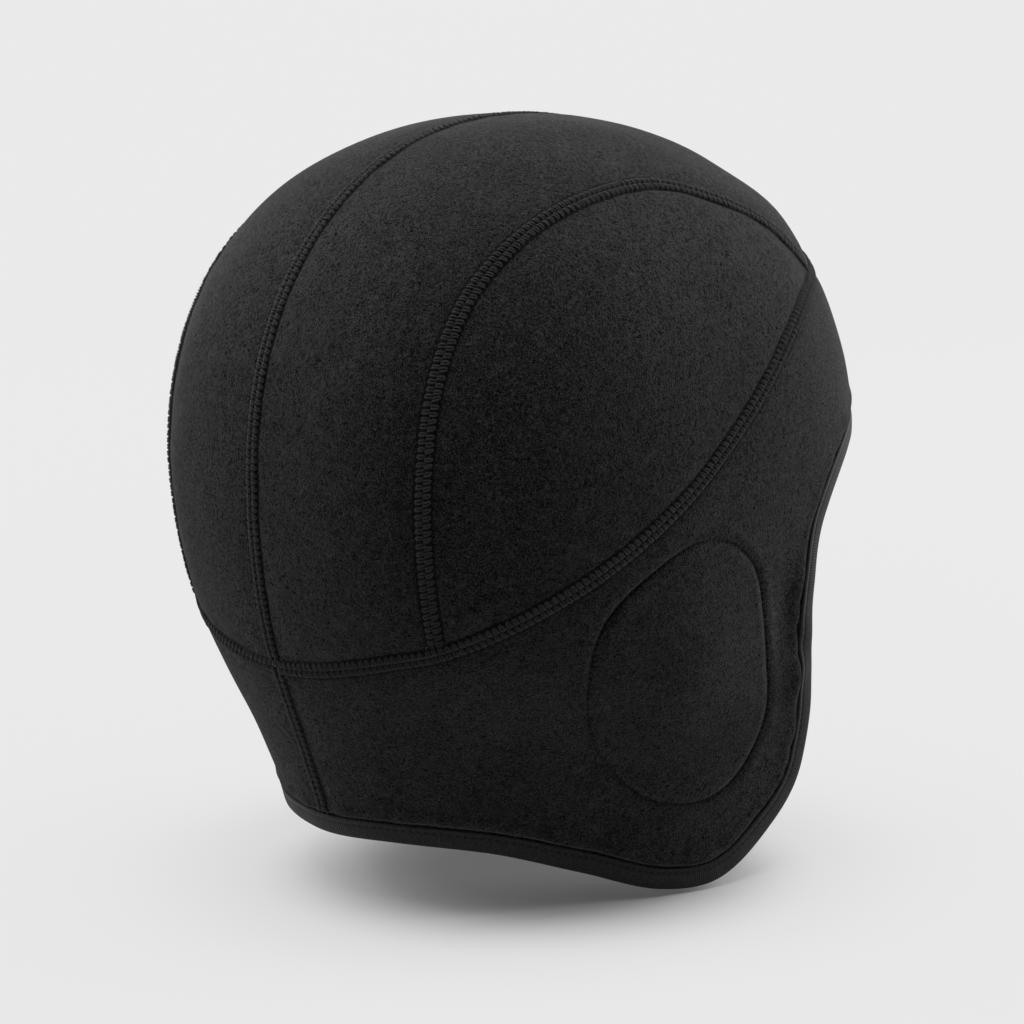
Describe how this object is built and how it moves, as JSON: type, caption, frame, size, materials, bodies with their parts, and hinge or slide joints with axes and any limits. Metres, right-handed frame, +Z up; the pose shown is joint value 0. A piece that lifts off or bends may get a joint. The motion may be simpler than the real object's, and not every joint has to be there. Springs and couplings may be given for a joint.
{
  "type": "helmet liner cap",
  "caption": "Close-fitting fleece cap worn under a helmet, with leaf-shaped side panels, ear flaps with raised oval ear patches, and a stretch tape folded over its edge.",
  "frame": {"origin": "top of the hollow, where the crown rests on the top of a head", "axes": "+Z up along the worn cap's height, face opening towards -Y, wearer's left towards +X"},
  "size_m": [0.1636, 0.1962, 0.2044],
  "materials": {
    "fleece": "black brushed fleece, matt, short curly pile",
    "stretch_tape": "black knitted stretch tape, faint sheen, fine ribs across"
  },
  "bodies": {
    "root": {"crown_panel_left": "fleece", "crown_panel_right": "fleece", "side_panel_left": "fleece", "side_panel_right": "fleece", "ear_flap_left": "fleece", "ear_flap_right": "fleece", "ear_patch_left": "fleece", "ear_patch_right": "fleece", "rim_tape": "stretch_tape"}
  },
  "joints": []
}
